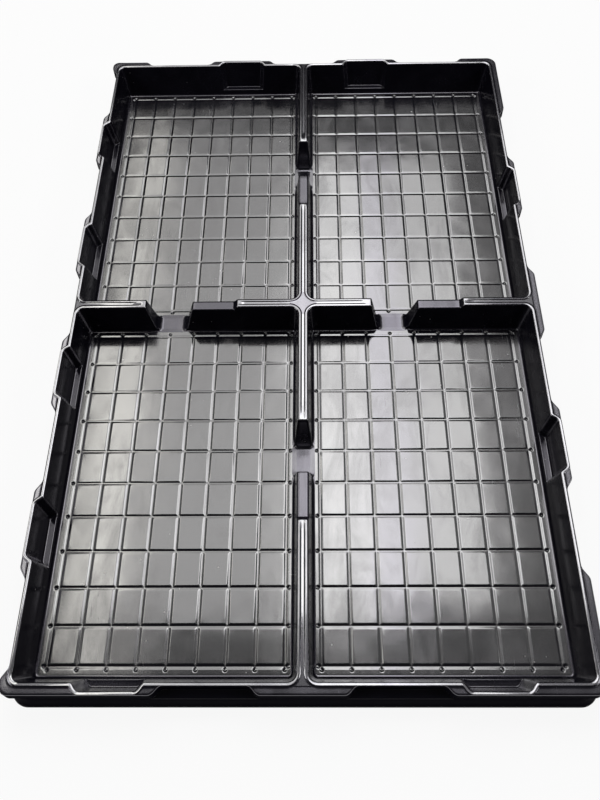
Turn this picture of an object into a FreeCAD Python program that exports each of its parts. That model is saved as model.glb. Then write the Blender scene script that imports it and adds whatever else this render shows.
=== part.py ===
"""Four-bay growing tray, thermoformed from one plastic sheet.

Two by two rectangular bays share one cross-shaped hollow divider. Each bay floor is a field of
flat raised pads between crossing drainage grooves. The bay walls carry shallow stacking pockets,
and the rim is a castellated flange whose edge turns down into a skirt that stands on a foot lip.

Frame: X across, Y along, Z up, millimetres. The origin is on the ground under the centre.
"""
import FreeCAD, Part
import math
import os

# ---- driving dimensions (mm) -------------------------------------------------------------------
LENGTH = 600.0            # foot lip to foot lip, along Y
WIDTH = 390.0             # foot lip to foot lip, along X
HEIGHT = 35.0             # ground to the top of the rim
SHEET = 1.2               # thickness of the plastic sheet

FOOT_LIP = 0.6            # trimmed lip beyond the lower skirt
LEDGE_STEP = 0.7          # lower skirt beyond the widest flange
SKIRT_LEDGE_DROP = 11.5   # rim top down to the ledge round the skirt
SKIRT_CORNER = 12.0       # plan radius of the lower skirt's corners

TAB_DEPTH = 5.7           # wide flange beyond narrow flange
TAB_RUN = 7.2             # length of the slanted shoulder between narrow and wide
TAB_ROUND = 5.0           # rounding of each shoulder
RIM_EDGE = 2.0            # narrow flange beyond the bay opening
SIDE_CORNER_RUN = 14.7    # wide corner left beyond the side tabs
END_CORNER_RUN = 39.0     # wide corner left beyond the end tabs
TIGHT_CORNER = 6.0        # plan radius of the flange's left corners
OPEN_CORNER = 9.0         # plan radius of the flange's right corners

SIDE_LEAN = 5.3           # side wall's lean from pad level to the rim
END_LEAN = 8.4            # end wall's lean from pad level to the rim
OPENING_CORNER = 6.0      # plan radius of a bay opening
FOOT_CORNER = 3.0         # plan radius where the walls meet the floor

DIVIDER_TOP = 6.8         # width of the divider's crest
DIVIDER_FOOT = 14.2       # width of the divider at pad level
HUB_HALF = 12.0           # half size of the hub where the dividers cross

GROOVE_WIDTH = 3.0
GROOVE_DEPTH = 3.0
GROOVE_COLUMNS = 9        # grooves running along Y in each bay
GROOVE_ROWS = 11          # grooves running along X in each bay
GROOVE_TIP = 3.9          # how far a groove runs past the outermost one that it crosses
TIP_ROUNDNESS = 0.98      # share of a groove's half width that its tip's rounding takes
SIDE_MARGIN = 7.4         # side wall's foot to the nearest groove's centre line
END_MARGIN = 7.3          # end wall's foot to the nearest groove's centre line
DIVIDER_MARGIN_X = 5.4    # divider's foot to the nearest groove, across
DIVIDER_MARGIN_Y = 6.2    # divider's foot to the nearest groove, along

POCKET_DEPTH = 5.3        # pocket beyond the plain wall
POCKET_LENGTH = 37.0      # flat of the pocket at the rim
POCKET_END_RUN = 4.5      # slanted end of the pocket in plan
POCKET_TAPER = 2.5        # how much each end closes in from the rim to the ledge
POCKET_LEDGE = 5.2        # height of the pocket's ledge above the pads
POCKET_ROUND = 2.5

GAP_WIDTH = 15.5          # flat floor of the gap in a cross arm of the divider
GAP_WIDTH_LONG = 17.3     # the same in a long arm
GAP_FILLET = 5.5
GAP_LEAN = 5.9            # lean of the gap's steeper end over the full wall height
LOW_SIDE_LEAN = 8.5       # lean of the end that rises to the lowered crest
RIDGE_BEFORE_GAP = 56.5   # crest length before a gap in the cross arms
RIDGE_BEFORE_GAP_LONG = 107.5   # the same in the long arms
LOW_CREST = 34.5          # length of the lowered crest after a gap
LOW_CREST_DROP = 3.5
LOW_CREST_STEP = 3.0      # run of the step from the lowered crest back to full height

# ---- sizes worked out from them ----------------------------------------------------------------
FOOT = (WIDTH / 2, LENGTH / 2)
SKIRT = tuple(v - FOOT_LIP for v in FOOT)
WIDE = tuple(v - LEDGE_STEP for v in SKIRT)
NARROW = tuple(v - TAB_DEPTH for v in WIDE)
OPENING = tuple(v - RIM_EDGE for v in NARROW)
FLOOR = (OPENING[0] - SIDE_LEAN, OPENING[1] - END_LEAN)
PAD_Z = SHEET + GROOVE_DEPTH
LEDGE_Z = HEIGHT - SKIRT_LEDGE_DROP
WALL_HEIGHT = HEIGHT - PAD_Z
SIDE_PITCH = (LENGTH - 2 * SIDE_CORNER_RUN) / 9
END_PITCH = (WIDTH - 2 * END_CORNER_RUN) / 5
SLACK = 1.0               # how far a cutting tool runs past what it cuts

# Each side: which plan axis it faces, its sign, its tab pitch, and the places, in pitches from
# its middle, where the flange changes between wide and narrow. All sides start and end wide.
SIDES = {
    "left": (0, -1, SIDE_PITCH, (-4.5, -3.5, -2.5, -1.5, -0.5, 0.5, 1.5, 2.5, 3.5, 4.5)),
    "right": (0, 1, SIDE_PITCH, (-3.5, -2.5, -1.5, -0.5, 0.5, 1.5, 2.5, 3.5)),
    "far": (1, 1, END_PITCH, (-2.5, -1.5, -0.5, 0.5, 1.5, 2.5)),
    "near": (1, -1, END_PITCH, (-1.5, -0.5, 0.5, 1.5)),
}
# Middles of the pockets on each side, in pitches.
POCKETS = {
    "left": (-3, -1, 1, 3),
    "right": (-2, 2),
    "far": (-1, 1),
    "near": (-2, 2),
}
# Each divider arm: does it run along X, where its pattern starts, and which way it runs.
ARMS = {
    "left": (True, -OPENING[0], 1),
    "right": (True, 0.0, 1),
    "far": (False, OPENING[1], -1),
    "near": (False, 0.0, -1),
}
# Each bay: the signs of its X and Y.
BAYS = {
    "far_left": (-1, 1),
    "far_right": (1, 1),
    "near_left": (-1, -1),
    "near_right": (1, -1),
}


# ---- plain helpers -----------------------------------------------------------------------------
def plan(side, along, out):
    """Plan point at a distance along a side and a distance out from the tray's centre."""
    axis, sign = SIDES[side][:2]
    return (sign * out, along) if axis == 0 else (along, sign * out)


def rounded_wire(corners, z):
    """Closed wire through (x, y, radius) corners, each rounded by a tangent arc."""
    points = [FreeCAD.Vector(x, y, z) for x, y, _ in corners]
    edges = []
    ends = []
    for i, (_, _, radius) in enumerate(corners):
        here = points[i]
        back = (points[i - 1] - here).normalize()
        ahead = (points[(i + 1) % len(points)] - here).normalize()
        if radius <= 0:
            ends.append((here, None, here))
            continue
        half = back.getAngle(ahead) / 2
        start = here + back * (radius / math.tan(half))
        finish = here + ahead * (radius / math.tan(half))
        middle_way = (back + ahead).normalize()
        top = here + middle_way * (radius / math.sin(half) - radius)
        ends.append((start, top, finish))
    for i, (start, top, finish) in enumerate(ends):
        if top is not None:
            edges.append(Part.Arc(start, top, finish).toShape())
        following = ends[(i + 1) % len(ends)][0]
        if finish.distanceToPoint(following) > 1e-6:
            edges.append(Part.LineSegment(finish, following).toShape())
    return Part.Wire(edges)


def prism(corners, z_low, z_high):
    """Upright prism on a rounded outline."""
    face = Part.Face(rounded_wire(corners, z_low))
    return face.extrude(FreeCAD.Vector(0, 0, z_high - z_low))


def loft(low, z_low, high, z_high):
    """Straight-sided solid between two rounded outlines with matching corners."""
    wires = [rounded_wire(low, z_low), rounded_wire(high, z_high)]
    return Part.makeLoft(wires, True, True)


def box(x_low, y_low, z_low, x_high, y_high, z_high):
    """Box between two opposite corners."""
    corner = FreeCAD.Vector(x_low, y_low, z_low)
    return Part.makeBox(x_high - x_low, y_high - y_low, z_high - z_low, corner)


def rectangle(half_x, half_y, radius):
    """Outline of a centred rectangle with rounded corners."""
    return [(-half_x, -half_y, radius), (half_x, -half_y, radius),
            (half_x, half_y, radius), (-half_x, half_y, radius)]


def join(shapes):
    """One shape from many that overlap or touch."""
    first, *others = shapes
    return first.multiFuse(others) if others else first


# ---- the flange's castellated outline ----------------------------------------------------------
def side_levels(side, inset):
    """(along, out, rounding) corners of one side's edge, walking towards larger 'along'."""
    axis, _, pitch, breaks = SIDES[side]
    narrow = NARROW[axis] - inset
    wide = WIDE[axis] - inset
    corners = []
    is_wide = True
    for place in breaks:
        shift = -inset if is_wide else inset
        middle = place * pitch + shift
        before, after = (wide, narrow) if is_wide else (narrow, wide)
        corners.append((middle - TAB_RUN / 2, before, TAB_ROUND))
        corners.append((middle + TAB_RUN / 2, after, TAB_ROUND))
        is_wide = not is_wide
    return corners


def flange_outline(inset=0.0):
    """Whole flange outline, walked once round: near, right, far, left."""
    half_x = WIDE[0] - inset
    half_y = WIDE[1] - inset
    tight = TIGHT_CORNER - inset
    open_round = OPEN_CORNER - inset
    corners = [(-half_x, -half_y, tight)]
    corners += [(*plan("near", u, v), r) for u, v, r in side_levels("near", inset)]
    corners += [(half_x, -half_y, open_round)]
    corners += [(*plan("right", u, v), r) for u, v, r in side_levels("right", inset)]
    corners += [(half_x, half_y, open_round)]
    corners += [(*plan("far", u, v), r) for u, v, r in reversed(side_levels("far", inset))]
    corners += [(-half_x, half_y, tight)]
    corners += [(*plan("left", u, v), r) for u, v, r in reversed(side_levels("left", inset))]
    return corners


def body_block():
    """The tray's outer form: foot lip, lower skirt and castellated upper skirt, filled."""
    lip = prism(rectangle(*FOOT, SKIRT_CORNER + FOOT_LIP), 0, SHEET)
    lower = prism(rectangle(*SKIRT, SKIRT_CORNER), SHEET, LEDGE_Z)
    upper = prism(flange_outline(), LEDGE_Z, HEIGHT)
    return join([lower, lip, upper])


def underside_hollow():
    """Everything under the sheet, as if the tray had no bays."""
    skirt_inside = [v - SHEET for v in SKIRT]
    lower = prism(rectangle(*skirt_inside, SKIRT_CORNER - SHEET), -SLACK, LEDGE_Z - SHEET)
    upper = prism(flange_outline(SHEET), LEDGE_Z - 2 * SHEET, HEIGHT - SHEET)
    return join([lower, upper])


# ---- bays, pockets and divider gaps: each as the space it leaves, grown by the sheet on demand --
def bay_rectangle(sx, sy, inner, outer_x, outer_y, radius):
    """Outline of one bay's plan between the divider and the outer wall."""
    xs = sorted((sx * inner, sx * outer_x))
    ys = sorted((sy * inner, sy * outer_y))
    return [(xs[0], ys[0], radius), (xs[1], ys[0], radius),
            (xs[1], ys[1], radius), (xs[0], ys[1], radius)]


def bay_space(sx, sy, grow=0.0):
    """Leaning-walled space of one bay above its pads."""
    low = bay_rectangle(sx, sy, DIVIDER_FOOT / 2 - grow, FLOOR[0] + grow, FLOOR[1] + grow,
                        FOOT_CORNER + grow)
    high = bay_rectangle(sx, sy, DIVIDER_TOP / 2 - grow, OPENING[0] + grow, OPENING[1] + grow,
                         OPENING_CORNER + grow)
    space = loft(low, PAD_Z, high, HEIGHT)
    if grow:
        space = space.fuse(prism(low, PAD_Z - grow, PAD_Z))
    return space


def pocket_outline(side, middle, shrink, back, grow):
    """Plan of a pocket at one height: 'shrink' closes its ends, 'back' draws it inwards."""
    axis = SIDES[side][0]
    face = OPENING[axis] - back
    half = POCKET_LENGTH / 2 - shrink + grow
    deep = face + POCKET_DEPTH + grow
    inside = face - POCKET_DEPTH
    wide_half = half + POCKET_END_RUN
    corners = [(middle - wide_half, inside, 0), (middle - wide_half, face, POCKET_ROUND),
               (middle - half, deep, POCKET_ROUND), (middle + half, deep, POCKET_ROUND),
               (middle + wide_half, face, POCKET_ROUND), (middle + wide_half, inside, 0)]
    return [(*plan(side, u, v), r) for u, v, r in corners]


def pocket_space(side, place, grow=0.0):
    """Space of one stacking pocket, from its ledge to the rim."""
    middle = place * SIDES[side][2]
    lean = (SIDE_LEAN, END_LEAN)[SIDES[side][0]]
    ledge = PAD_Z + POCKET_LEDGE
    back = lean * (HEIGHT - ledge) / WALL_HEIGHT
    low = pocket_outline(side, middle, POCKET_TAPER, back, grow)
    high = pocket_outline(side, middle, 0.0, 0.0, grow)
    space = loft(low, ledge, high, HEIGHT)
    if grow:
        space = space.fuse(prism(low, ledge - grow, ledge))
    return space


def bays_and_pockets(grow):
    """All bay and pocket spaces in one, grown by the sheet where asked."""
    bays = [bay_space(*signs, grow) for signs in BAYS.values()]
    pockets = [pocket_space(side, place, grow) for side in POCKETS for place in POCKETS[side]]
    return join(bays + pockets)


def fillet_reach(lean):
    """Length of gap floor that the fillet at the foot of an end with this lean takes up."""
    return GAP_FILLET * math.tan((math.pi / 2 - math.atan2(lean, WALL_HEIGHT)) / 2)


def gap_floor(across_x):
    """Where the flat floor of an arm's gap starts and ends, measured from the arm's start."""
    start, width = ((RIDGE_BEFORE_GAP, GAP_WIDTH) if across_x
                    else (RIDGE_BEFORE_GAP_LONG, GAP_WIDTH_LONG))
    flat_start = start + GAP_LEAN + fillet_reach(GAP_LEAN)
    return flat_start, flat_start + width


def gap_profile(across_x):
    """(along, height) corners of an arm's gap and of the lowered crest that follows it."""
    flat_start, flat_end = gap_floor(across_x)
    foot = flat_start - fillet_reach(GAP_LEAN)
    floor_end = flat_end + fillet_reach(LOW_SIDE_LEAN)
    low_z = HEIGHT - LOW_CREST_DROP
    low_start = floor_end + LOW_SIDE_LEAN * (low_z - PAD_Z) / WALL_HEIGHT
    low_end = low_start + LOW_CREST
    return [(foot - GAP_LEAN, HEIGHT), (foot, PAD_Z), (floor_end, PAD_Z), (low_start, low_z),
            (low_end, low_z), (low_end + LOW_CREST_STEP, HEIGHT)]


def gap_space(arm, grow=0.0):
    """Space that one divider arm's gap and lowered crest leave open, right across the divider."""
    across_x, start, direction = ARMS[arm]
    outline = gap_profile(across_x)
    moved = [(u - grow, z) for u, z in outline[:2]] + [(u + grow, z) for u, z in outline[2:]]
    moved = [(u, z - grow if z < HEIGHT else z + SLACK) for u, z in moved]
    points = []
    for u, z in moved + moved[:1]:
        along = start + direction * u
        reach = -(DIVIDER_FOOT / 2 + grow)
        points.append(FreeCAD.Vector(along, reach, z) if across_x
                      else FreeCAD.Vector(reach, along, z))
    face = Part.Face(Part.makePolygon(points))
    width = DIVIDER_FOOT + 2 * grow
    solid = face.extrude(FreeCAD.Vector(0, width, 0) if across_x else FreeCAD.Vector(width, 0, 0))
    floor_corners = []
    for edge in solid.Edges:
        centre = edge.CenterOfMass
        level = abs(centre.z - (PAD_Z - grow)) < 1e-6
        crosswise = abs(edge.Length - width) < 1e-6
        if level and crosswise:
            floor_corners.append(edge)
    return solid.makeFillet(GAP_FILLET + grow, floor_corners)


# ---- floors ------------------------------------------------------------------------------------
def groove_places():
    """Centre lines of the far right bay's grooves: X places and Y places, divider first."""
    first_x = DIVIDER_FOOT / 2 + DIVIDER_MARGIN_X
    first_y = DIVIDER_FOOT / 2 + DIVIDER_MARGIN_Y
    pitch_x = (FLOOR[0] - SIDE_MARGIN - first_x) / (GROOVE_COLUMNS - 1)
    pitch_y = (FLOOR[1] - END_MARGIN - first_y) / (GROOVE_ROWS - 1)
    xs = [first_x + pitch_x * i for i in range(GROOVE_COLUMNS)]
    ys = [first_y + pitch_y * j for j in range(GROOVE_ROWS)]
    return xs, ys


def channel(x_low, y_low, x_high, y_high, half, z_low, z_high):
    """Straight channel with round ends along the line between two points."""
    tip = half * TIP_ROUNDNESS
    outline = [(x_low - half, y_low - half, tip), (x_high + half, y_low - half, tip),
               (x_high + half, y_high + half, tip), (x_low - half, y_high + half, tip)]
    return prism(outline, z_low, z_high)


def groove_channels(half, z_low, z_high):
    """All channels of the far right bay at a given half width and height range."""
    xs, ys = groove_places()
    reach = GROOVE_TIP - GROOVE_WIDTH / 2
    x_low, x_high = min(xs) - reach, max(xs) + reach
    y_low, y_high = min(ys) - reach, max(ys) + reach
    along_y = [channel(x, y_low, x, y_high, half, z_low, z_high) for x in xs]
    along_x = [channel(x_low, y, x_high, y, half, z_low, z_high) for y in ys]
    return along_y + along_x


def floor_panel():
    """The far right bay's floor: a plate at pad level, pressed down into open channels."""
    footprint = bay_rectangle(1, 1, DIVIDER_FOOT / 2, *FLOOR, FOOT_CORNER)
    plate = prism(footprint, PAD_Z - SHEET, PAD_Z)
    webs = groove_channels(GROOVE_WIDTH / 2 + SHEET, 0, PAD_Z)
    cuts = groove_channels(GROOVE_WIDTH / 2, SHEET, PAD_Z + SLACK)
    pressed = plate.multiFuse(webs).common(prism(footprint, 0, PAD_Z))
    return pressed.cut(join(cuts)).removeSplitter()


def mirrored(shape, sx, sy):
    """Copy of a far right shape for the bay with these signs."""
    if sx < 0:
        shape = shape.mirror(FreeCAD.Vector(), FreeCAD.Vector(1, 0, 0))
    if sy < 0:
        shape = shape.mirror(FreeCAD.Vector(), FreeCAD.Vector(0, 1, 0))
    return shape


# ---- cutting the sheet into its named zones ----------------------------------------------------
def side_wedge(side, z_low, z_high):
    """Mitred region that holds one whole side of the tray."""
    axis = SIDES[side][0]
    out = FOOT[axis] + SLACK
    inner = FLOOR[axis] - SIDE_MARGIN
    other_out = FOOT[1 - axis] + SLACK
    other_inner = FLOOR[1 - axis] - SIDE_MARGIN
    ring = [(-other_inner, inner), (other_inner, inner), (other_out, out), (-other_out, out)]
    return prism([(*plan(side, u, v), 0) for u, v in ring], z_low, z_high)


def pick(shape, region):
    """The solids of a shape inside a region."""
    solids = shape.common(region).Solids
    return Part.makeCompound([s.removeSplitter() for s in solids if s.Volume > 0.5])


def rim_zone(side, first, last, z_low):
    """Box over part of one side's rim between two places along it."""
    axis = SIDES[side][0]
    inner = OPENING[axis] - OPENING_CORNER / 2
    outer = FOOT[axis] + SLACK
    ends = [plan(side, first, inner), plan(side, last, outer)]
    xs = sorted(p[0] for p in ends)
    ys = sorted(p[1] for p in ends)
    return box(xs[0], ys[0], z_low, xs[1], ys[1], HEIGHT + SLACK)


def tab_and_strip_zones(side, z_low):
    """Regions of a side's separate wide tabs and of the narrow strips between them."""
    _, _, pitch, breaks = SIDES[side]
    places = [b * pitch for b in breaks]
    spans = list(zip(places, places[1:]))
    strips = [rim_zone(side, a, b, z_low) for a, b in spans[0::2]]
    tabs = [rim_zone(side, a, b, z_low) for a, b in spans[1::2]]
    return tabs, strips


def corner_zone(sx, sy, z_low):
    """L-shaped region of the wide flange round one corner."""
    side_name = "left" if sx < 0 else "right"
    end_name = "near" if sy < 0 else "far"
    _, _, side_pitch, side_breaks = SIDES[side_name]
    _, _, end_pitch, end_breaks = SIDES[end_name]
    from_y = max(side_breaks) * side_pitch
    from_x = max(end_breaks) * end_pitch
    side_part = rim_zone(side_name, sy * from_y, sy * (FOOT[1] + SLACK), z_low)
    end_part = rim_zone(end_name, sx * from_x, sx * (FOOT[0] + SLACK), z_low)
    return side_part.fuse(end_part)


def arm_zones(arm):
    """Three regions along one arm: ridge before the gap, gap floor, and ridge after it."""
    across_x, start, direction = ARMS[arm]
    gap_start, gap_end = gap_floor(across_x)
    total = OPENING[0] if across_x else OPENING[1]
    starts_at_hub = start == 0
    first = HUB_HALF if starts_at_hub else 0.0
    last = total if starts_at_hub else total - HUB_HALF
    half = DIVIDER_FOOT / 2
    regions = []
    for a, b in ((first, gap_start), (gap_start, gap_end), (gap_end, last)):
        low, high = sorted((start + direction * a, start + direction * b))
        if across_x:
            regions.append(box(low, -half, -SLACK, high, half, HEIGHT + SLACK))
        else:
            regions.append(box(-half, low, -SLACK, half, high, HEIGHT + SLACK))
    return regions


def build_nodes():
    """Every named zone of the tray as one shape."""
    nodes = {}
    panel = floor_panel()
    for bay, signs in BAYS.items():
        nodes["floor_" + bay] = mirrored(panel, *signs)

    footprints = [prism(bay_rectangle(*signs, DIVIDER_FOOT / 2, *FLOOR, FOOT_CORNER), -SLACK, PAD_Z)
                  for signs in BAYS.values()]
    lining = bays_and_pockets(SHEET)
    hollow = underside_hollow().cut(lining).cut(join([gap_space(arm, SHEET) for arm in ARMS]))
    filled = body_block().cut(hollow)
    opened = filled.cut(bays_and_pockets(0.0)).cut(join(footprints))
    sheet = opened.cut(join([gap_space(arm) for arm in ARMS]))

    half = DIVIDER_FOOT / 2
    cross = join([box(-OPENING[0], -half, -SLACK, OPENING[0], half, HEIGHT + SLACK),
                  box(-half, -OPENING[1], -SLACK, half, OPENING[1], HEIGHT + SLACK)])
    hub = box(-HUB_HALF, -HUB_HALF, -SLACK, HUB_HALF, HUB_HALF, HEIGHT + SLACK)
    nodes["divider_hub"] = pick(sheet, hub)
    for arm in ARMS:
        names = ("divider_%s_first_ridge", "divider_%s_gap_floor", "divider_%s_second_ridge")
        for name, region in zip(names, arm_zones(arm)):
            nodes[name % arm] = pick(sheet, region.cut(hub))

    outside = sheet.cut(cross).cut(hub)
    walls = outside.common(lining)
    rim = outside.cut(lining)
    for side in SIDES:
        wedge = side_wedge(side, -SLACK, HEIGHT + SLACK)
        wall = walls.common(wedge)
        axis = SIDES[side][0]
        for end, sign in (("near", -1), ("far", 1)) if axis == 0 else (("left", -1), ("right", 1)):
            reach = max(FOOT) + SLACK
            low, high = sorted((0.0, sign * reach))
            half_region = (box(-reach, low, -SLACK, reach, high, HEIGHT + SLACK) if axis == 0
                           else box(low, -reach, -SLACK, high, reach, HEIGHT + SLACK))
            nodes["wall_%s_%s" % (side, end)] = pick(wall, half_region)

    split_z = LEDGE_Z - SHEET
    for side in SIDES:
        nodes["skirt_" + side] = pick(rim, side_wedge(side, -SLACK, split_z))
        tabs, strips = tab_and_strip_zones(side, split_z)
        nodes["rim_tabs_" + side] = Part.makeCompound([pick(rim, r) for r in tabs])
        nodes["rim_strips_" + side] = Part.makeCompound([pick(rim, r) for r in strips])
    for name, (sx, sy) in BAYS.items():
        nodes["rim_corner_" + name] = pick(rim, corner_zone(sx, sy, split_z))
    return nodes


def main():
    os.makedirs("parts", exist_ok=True)
    for name, shape in build_nodes().items():
        solids = shape.Solids
        volume = sum(s.Volume for s in solids)
        valid = all(s.isValid() for s in solids)
        print("%-32s solids %d  volume %9.1f  valid %s" % (name, len(solids), volume, valid))
        Part.makeCompound(solids).exportStep("parts/%s.step" % name)


main()
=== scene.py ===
"""Looks of a four-bay growing tray, formed from one sheet of glossy black plastic.

The whole tray is one skin. It is laid out as grids: the floors are height fields over the plan,
the bay walls and the rim are profiles carried round closed plan rings, and the divider crests are
strips that follow the height of their arm. All sizes are millimetres until a mesh is made.
"""

import math

import bpy
import numpy as np
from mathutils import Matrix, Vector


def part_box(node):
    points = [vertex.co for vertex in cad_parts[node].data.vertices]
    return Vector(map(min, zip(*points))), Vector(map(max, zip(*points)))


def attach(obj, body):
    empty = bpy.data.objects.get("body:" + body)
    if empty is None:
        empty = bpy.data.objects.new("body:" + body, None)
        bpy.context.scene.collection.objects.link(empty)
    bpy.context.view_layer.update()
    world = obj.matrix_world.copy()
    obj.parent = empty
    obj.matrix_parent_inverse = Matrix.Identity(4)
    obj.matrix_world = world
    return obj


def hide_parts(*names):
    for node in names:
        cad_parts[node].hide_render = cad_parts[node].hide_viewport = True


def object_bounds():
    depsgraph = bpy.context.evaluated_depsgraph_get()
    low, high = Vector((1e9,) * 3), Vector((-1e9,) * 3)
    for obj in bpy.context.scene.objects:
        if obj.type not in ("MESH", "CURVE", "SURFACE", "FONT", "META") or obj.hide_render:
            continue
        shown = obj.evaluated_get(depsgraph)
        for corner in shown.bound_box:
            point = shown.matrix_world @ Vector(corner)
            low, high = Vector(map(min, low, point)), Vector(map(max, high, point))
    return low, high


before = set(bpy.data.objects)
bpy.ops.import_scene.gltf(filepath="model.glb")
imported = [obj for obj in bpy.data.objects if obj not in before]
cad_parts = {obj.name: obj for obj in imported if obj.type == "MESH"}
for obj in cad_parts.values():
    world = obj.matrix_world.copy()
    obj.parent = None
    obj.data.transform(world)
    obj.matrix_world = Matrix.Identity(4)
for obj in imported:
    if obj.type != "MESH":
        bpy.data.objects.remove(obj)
cad_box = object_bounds()
MM = 0.001


# ---- sizes read from the frame -----------------------------------------------------------------
def node_box(node):
    """Lowest and highest corner of a frame node, in millimetres."""
    low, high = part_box(node)
    return np.array(low) / MM, np.array(high) / MM


FLOOR_LOW, FLOOR_HIGH = node_box("floor_far_right")
HUB_HIGH = node_box("divider_hub")[1]
FOOT = np.array(cad_box[1])[:2] / MM
HEIGHT = HUB_HIGH[2]
PAD_Z = FLOOR_HIGH[2]
FLOOR = FLOOR_HIGH[:2]
SHEET = PAD_Z - node_box("divider_far_gap_floor")[0][2]
DIVIDER_FOOT = 2 * FLOOR_LOW[0]
OPENING = np.array([-node_box("divider_left_first_ridge")[0][0],
                    node_box("divider_far_first_ridge")[1][1]])
WALL_HEIGHT = HEIGHT - PAD_Z

# ---- sizes of the form -------------------------------------------------------------------------
DIVIDER_TOP = 8.0         # width of the divider at its full height, over its two beads
DIVIDER_LEAN = (DIVIDER_FOOT - DIVIDER_TOP) / 2 / WALL_HEIGHT   # of each of its sides, to its foot
FOOT_LIP = 0.6            # how far the lip at the foot stands out from the skirt
LIP_FLARE = 0.5           # height over which the skirt turns out into the lip
LIP_ROUND = 0.25          # rounding of the lip's upper edge
LEDGE_STEP = 0.7          # how far the skirt's foot stands out past the flange's wide lengths
LEDGE_FILLET = 0.7        # radius of the skirt's ledge where it begins and where it ends
TAB_DEPTH = (5.7, 4.9)    # how far the flange's narrow lengths draw in, on short and long sides
SKIRT = FOOT - FOOT_LIP
SKIRT_DRAFT = np.array([3.4, 0.6])   # how far the lower skirt draws in, from its lip to the ledge
WIDE = SKIRT - LEDGE_STEP
LEDGE_Z = HEIGHT - 11.5
SKIRT_CORNER = 12.0       # plan radius of the skirt's corners
TIGHT_CORNER = 6.0        # of the flange's two left corners
OPEN_CORNER = 9.0         # and of its two right ones
TAB_RUN = (4.8, 7.2)      # run of a tab's slanted shoulder, on the short and on the long sides
TAB_BEND = (2.2, 1.7)     # half length of the curve at each end of it
SIDE_MARGIN = 14.7        # foot's end to the outermost shoulder of a long side's flange
END_MARGIN = 39.0         # and of a short side's
SIDE_PITCH = (2 * FOOT[1] - 2 * SIDE_MARGIN) / 9
END_PITCH = (2 * FOOT[0] - 2 * END_MARGIN) / 5
FLANGE_CUT = 168.0        # X at which the short sides' flange ends and the long sides' begins

GROOVE_HALF = 1.75        # half width of a groove
GROOVE_DEPTH = 0.33
GROOVE_TIP = 3.9          # last crossing's centre line to the groove's end
DIMPLE_DEPTH = 0.45       # extra depth of the round dimple at each end of a groove
FIRST_GROOVE = (DIVIDER_FOOT / 2 + 5.4, DIVIDER_FOOT / 2 + 6.2)
LAST_GROOVE = (FLOOR[0] - 7.4, FLOOR[1] - 7.3)
GROOVE_COLUMNS = 9
GROOVE_ROWS = 11
PAD_CORNER = 0.9          # rounding of a pad's corners in plan
GROOVE_WALL = 1.45        # run of a groove's gently sloping side
GROOVE_BEND = 0.3         # half length of the curves at its top and bottom
PAD_TIP = 0.0028          # usual slope by which a pad tips, along X and along Y
PAD_DIP = (0.02, 0.07)    # least and greatest sag at a pad's middle
FLOOR_TUCK = 0.06         # the floor's edge dips under the walls' fillet by this much
TUCK_RUN = 1.6            # over this width

POCKET_DEPTH = 5.3
POCKET_LENGTH = 38.1      # length of a pocket's back at the rim, between its slanted ends
POCKET_END_RUN = 3.4      # run of a slanted end
POCKET_END_BEND = 1.6     # half length of the curve at each end of that run
POCKET_TAPER = 2.5        # how far each end closes in, from the rim down to the ledge
POCKET_Z = PAD_Z + 5.2
POCKET_BEND = 0.8         # radius of the pocket ledge's edge and of its back corner
POCKET_FALL = 0.04        # slope of the ledge, down towards its back corner

FLOOR_FILLET = 2.0
FLOOR_FILLET_LEAN = math.radians(10.0)
BEAD = 1.9                # the bead's inner half is a quarter of an ellipse: its run
BEAD_RISE = 0.7           # and its height
BEAD_FALL = 1.4           # run of the bead's outer half
BEAD_DROP = 0.48          # bead top down to the flange
FLANGE_CLIMB = 0.045      # slope of the long sides' flange, up towards its outer edge
FLANGE_EDGE = 0.8         # radius of the flange's outer edge
FOOT_RADIUS = 3.0         # plan radius of a bay at pad level
RIM_RADIUS = {"outer": 5.0, "mouth": 6.0, "hub": 7.0}   # plan radii of a bay at the rim

GAP_FILLET = 5.5
GAP_LEAN = 5.9            # how far a gap's side leans back over the wall's height
LOW_SIDE_LEAN = 8.5       # the same on the side of the lowered crest
LOW_CREST = 34.5          # length of the lowered crest
LOW_CREST_DROP = 3.5
LOW_CREST_STEP = 3.0      # run of the step back up to full height
CREST_BEND = 1.6          # radius where a crest turns down into a gap
FLAT_REACH = 3.0          # how far bay walls reach over a gap's floor, where they have no height
STAND_RISE = 3.0          # height over the pads at which a divider stands clear of them
VALLEY_STOP = 7.3         # crest end to the last point of the valley's axis
VALLEY_START = 4.6        # the same after the step back to full height

# How finely the grids follow the form: rows and stations, and spacings in millimetres.
BEAD_ROWS = 10
PATH_STEP = 4.0           # along a crest's straight runs
ARC_STEP = 0.16           # and round its bends, in radians
ACROSS_CREST = 21
ACROSS_HUB = 31
ROUND_FLARE = 12          # stations round a flare of a crest and a corner of the hub
WALL_TURN = 18            # stations round a bay's corner, with the ends of both runs
RIM_TURN = 26             # the same round a corner of the rim
FINE = 0.7                # spacing over shoulders and pocket ends
COARSE = 5.0              # spacing along plain lengths
WALL_REACH = 6.0          # how far the fine spacing goes to both sides of a pocket's end
RIM_REACH = 5.6           # and, on the rim, of such an end, a shoulder or a place in a mouth
MOUTH_PLACES = (-8.0, -4.0, 0.0, 4.0, 8.0)
MOUTH_HALF = 12.0         # half width of the mouth, where a divider runs into the rim
END_CUT = (13.5, 16.5)    # opening's side to the end of a bay side's run, along X and along Y
HOLD = 0.3                # a row this close to a bend keeps the bend's shading off the flat
LEDGE_HOLD = 0.2          # the same on a pocket's ledge
SLOPE_STEP = 0.05         # half step over which an outline's slope is measured

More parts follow.
